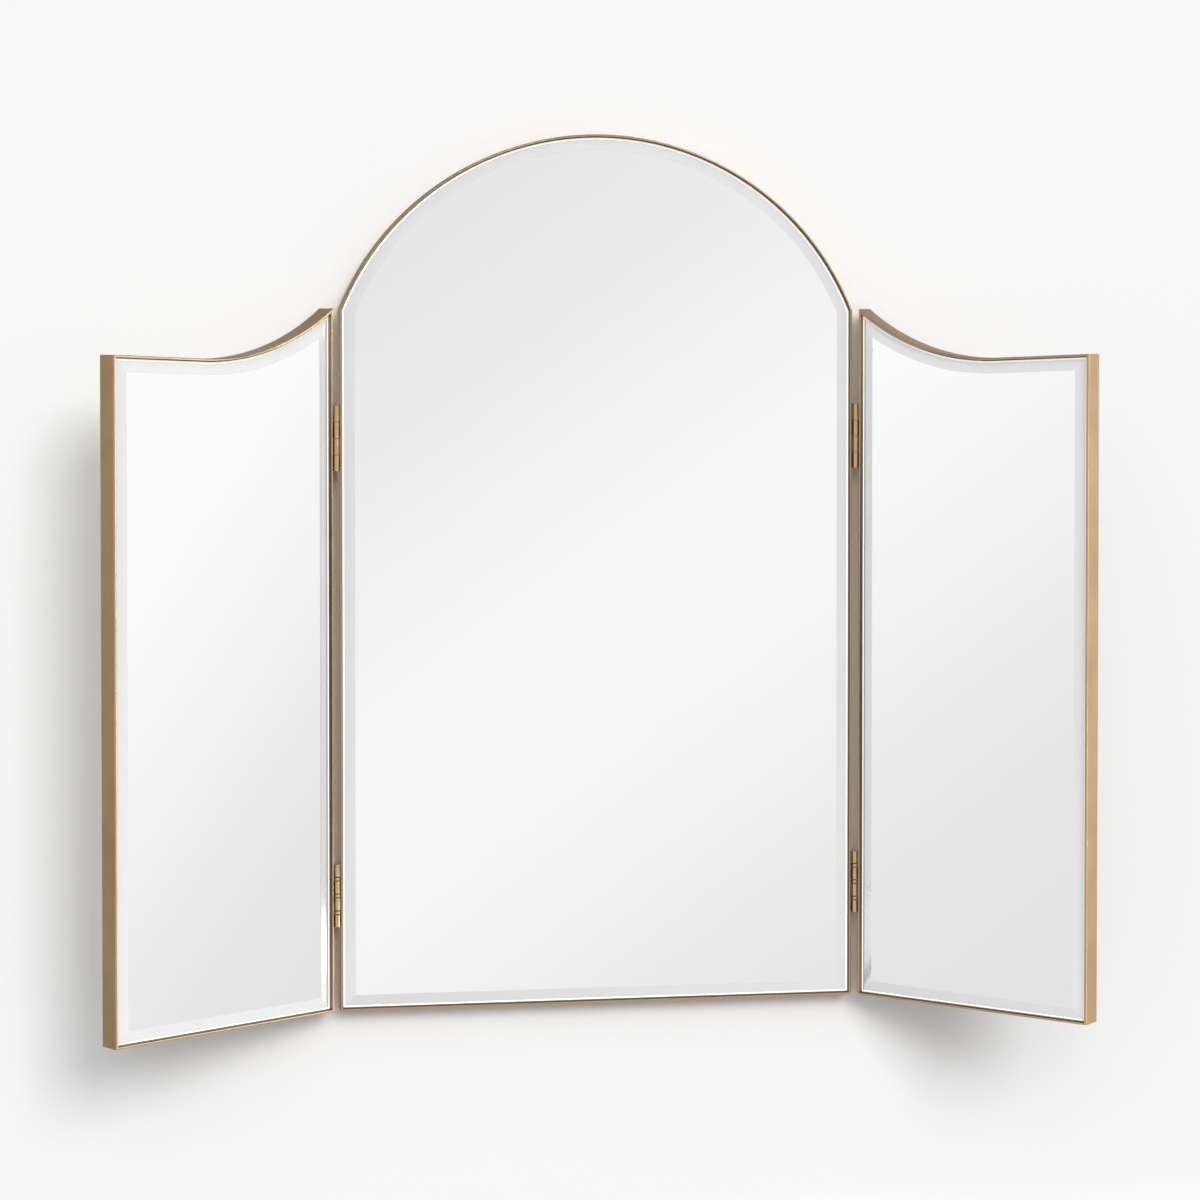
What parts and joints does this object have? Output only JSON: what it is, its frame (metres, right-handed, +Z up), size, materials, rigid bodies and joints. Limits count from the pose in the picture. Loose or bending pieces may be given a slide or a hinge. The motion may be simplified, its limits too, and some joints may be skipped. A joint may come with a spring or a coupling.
{
  "type": "triple dressing table mirror",
  "caption": "Arched dressing table mirror with a hinged folding wing on each side, bevelled glass and slim brass frames.",
  "frame": {"origin": "middle of the bottom face of the centre panel's frame, half way through its depth", "axes": "+X across to the right wing as the viewer sees it, +Y back into the wall, +Z up; the mirrors face -Y"},
  "size_m": [0.9384, 0.2011, 0.8515],
  "materials": {
    "frame_brass": "satin, lightly brushed along each rail",
    "mirror_glass": "polished silvered glass with a bevelled edge",
    "mirror_tape": "closed-cell foam tape",
    "backing_board": "fibreboard, sealed and matt",
    "hinge_brass": "polished, slightly dulled",
    "brass_screws": "satin",
    "plated_steel": "zinc plated",
    "steel_screws": "zinc plated"
  },
  "bodies": {
    "centre": {"centre_arch_rail": "frame_brass", "centre_left_stile": "frame_brass", "centre_right_stile": "frame_brass", "centre_bottom_rail": "frame_brass", "centre_mirror_glass": "mirror_glass", "centre_tape_strips": "mirror_tape", "centre_backing_board": "backing_board", "centre_board_screws": "steel_screws", "left_hanger_plate": "plated_steel", "right_hanger_plate": "plated_steel", "hanger_plate_screws": "steel_screws", "centre_hinge_screws": "brass_screws", "upper_left_hinge_centre_leaf": "hinge_brass", "upper_left_hinge_pin": "hinge_brass", "upper_right_hinge_centre_leaf": "hinge_brass", "upper_right_hinge_pin": "hinge_brass", "lower_left_hinge_centre_leaf": "hinge_brass", "lower_left_hinge_pin": "hinge_brass", "lower_left_hinge_rings": "hinge_brass", "lower_right_hinge_centre_leaf": "hinge_brass", "lower_right_hinge_pin": "hinge_brass", "lower_right_hinge_rings": "hinge_brass"},
    "left_wing": {"left_wing_top_rail": "frame_brass", "left_wing_outer_stile": "frame_brass", "left_wing_inner_stile": "frame_brass", "left_wing_bottom_rail": "frame_brass", "left_wing_mirror_glass": "mirror_glass", "left_wing_tape_strips": "mirror_tape", "left_wing_backing_board": "backing_board", "left_wing_board_screws": "steel_screws", "left_wing_hinge_screws": "brass_screws", "upper_left_hinge_wing_leaf": "hinge_brass", "lower_left_hinge_wing_leaf": "hinge_brass"},
    "right_wing": {"right_wing_top_rail": "frame_brass", "right_wing_outer_stile": "frame_brass", "right_wing_inner_stile": "frame_brass", "right_wing_bottom_rail": "frame_brass", "right_wing_mirror_glass": "mirror_glass", "right_wing_tape_strips": "mirror_tape", "right_wing_backing_board": "backing_board", "right_wing_board_screws": "steel_screws", "right_wing_hinge_screws": "brass_screws", "upper_right_hinge_wing_leaf": "hinge_brass", "lower_right_hinge_wing_leaf": "hinge_brass"}
  },
  "joints": [
    {"name": "left_wing_hinge", "type": "hinge", "parent": "centre", "child": "left_wing", "pos_m": [-0.25705, -0.0115, 0.3], "axis": [0, 0, 1], "range_deg": [-33, 147]},
    {"name": "right_wing_hinge", "type": "hinge", "parent": "centre", "child": "right_wing", "pos_m": [0.25705, -0.0115, 0.3], "axis": [0, 0, -1], "range_deg": [-44.6, 135.4]}
  ]
}
